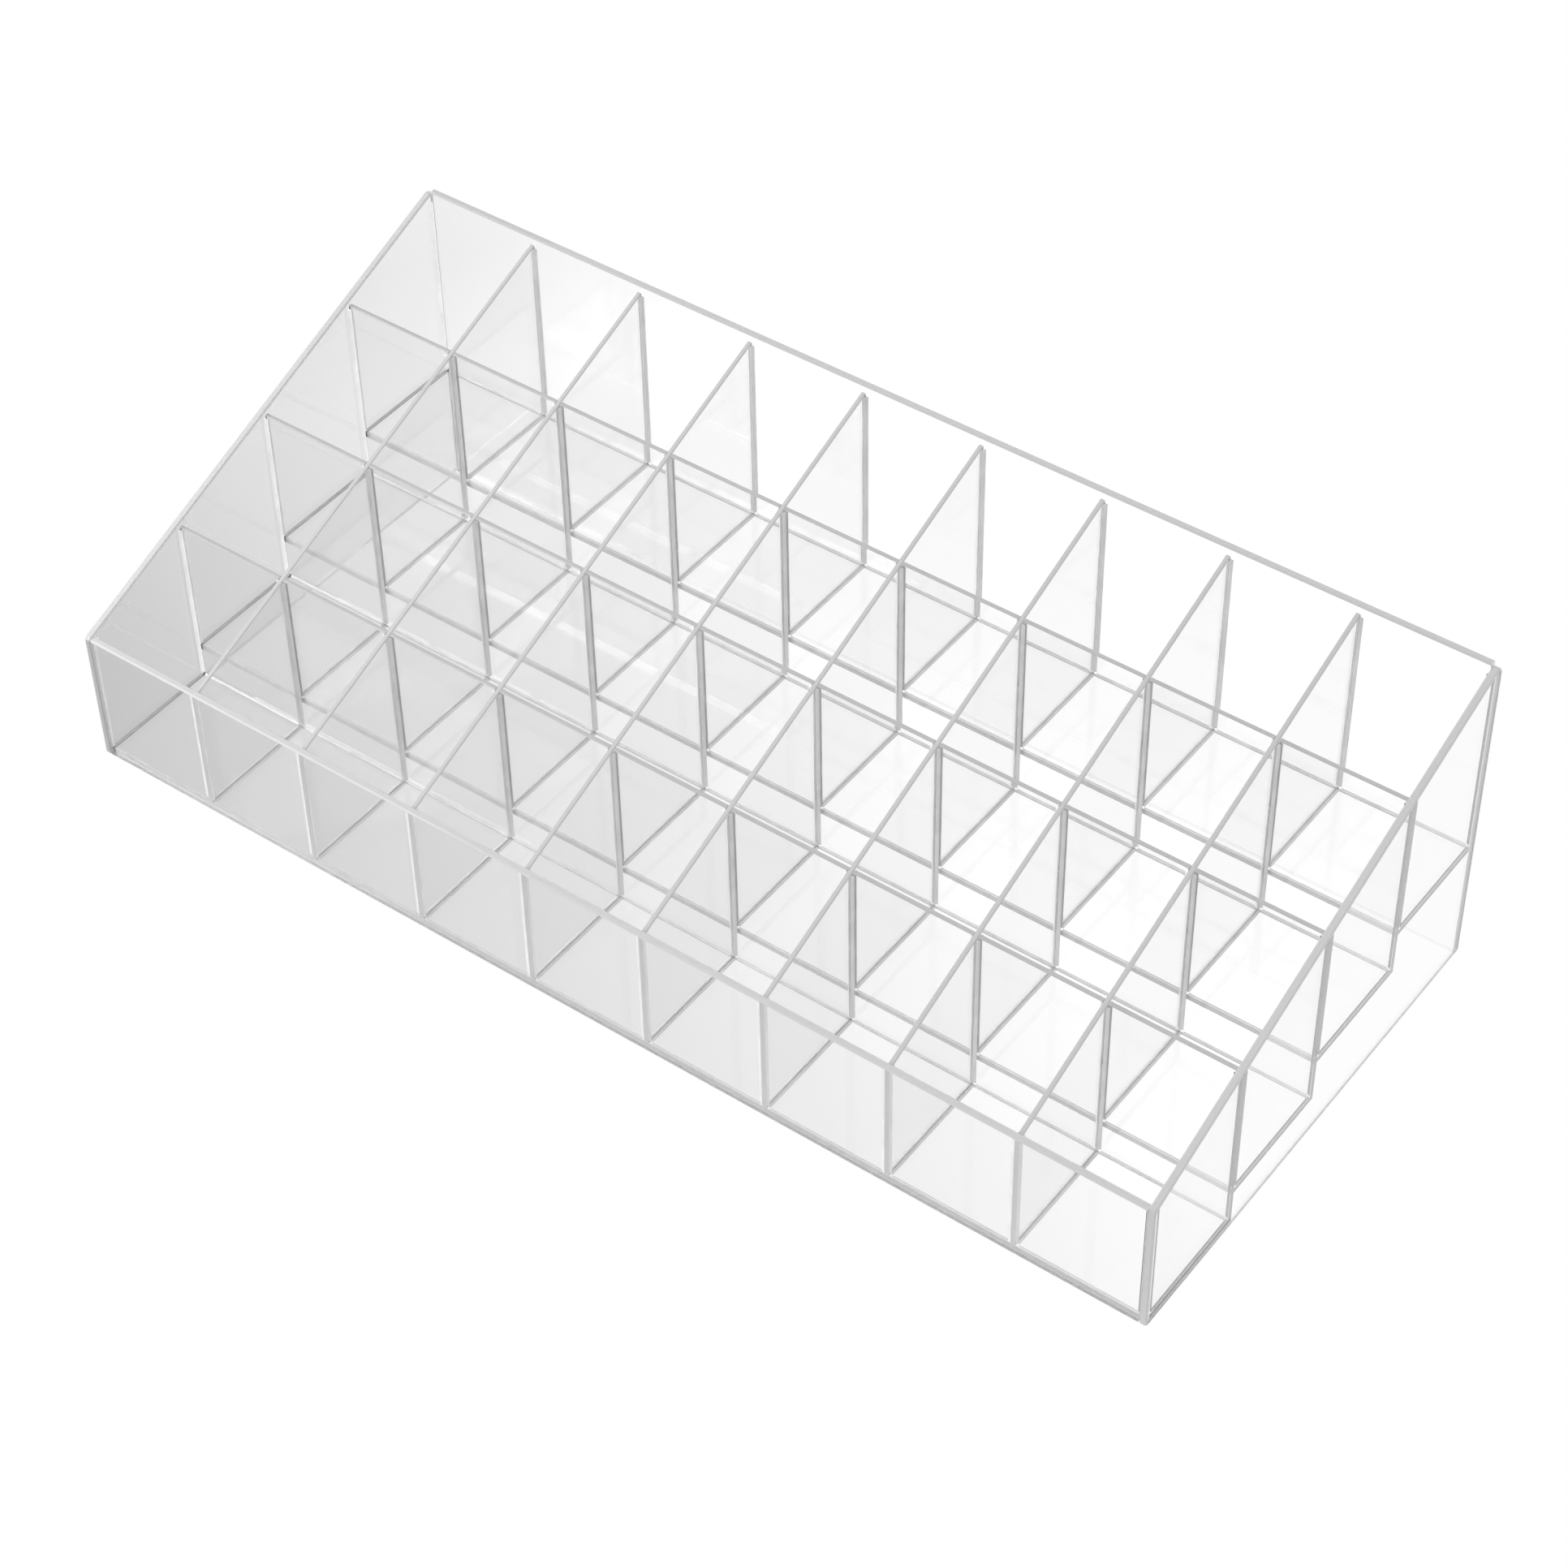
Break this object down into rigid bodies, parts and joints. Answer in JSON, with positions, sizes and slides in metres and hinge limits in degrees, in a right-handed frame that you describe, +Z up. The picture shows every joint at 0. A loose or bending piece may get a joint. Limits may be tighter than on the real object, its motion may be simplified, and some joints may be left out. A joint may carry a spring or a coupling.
{
  "type": "lipstick holder",
  "caption": "Open tiered rack of clear sheet, with square cells in rows that step up to the back, for lipsticks standing upright.",
  "frame": {"origin": "middle of the footprint, on the surface that the rack stands on", "axes": "+X along the rack from its left to its right side seen from the front, +Y from the low front to the high back, +Z up"},
  "size_m": [0.225, 0.1, 0.067],
  "materials": {
    "shell_sheet": "clear, polished",
    "grid_sheet": "clear, polished"
  },
  "bodies": {
    "root": {"left_side_panel": "shell_sheet", "right_side_panel": "shell_sheet", "front_panel": "shell_sheet", "back_panel": "shell_sheet", "cross_wall_1": "grid_sheet", "cross_wall_2": "grid_sheet", "cross_wall_3": "grid_sheet", "column_divider_1": "grid_sheet", "column_divider_2": "grid_sheet", "column_divider_3": "grid_sheet", "column_divider_4": "grid_sheet", "column_divider_5": "grid_sheet", "column_divider_6": "grid_sheet", "column_divider_7": "grid_sheet", "column_divider_8": "grid_sheet", "row_floor_1": "grid_sheet", "row_floor_2": "grid_sheet", "row_floor_3": "grid_sheet", "row_floor_4": "grid_sheet"}
  },
  "joints": []
}
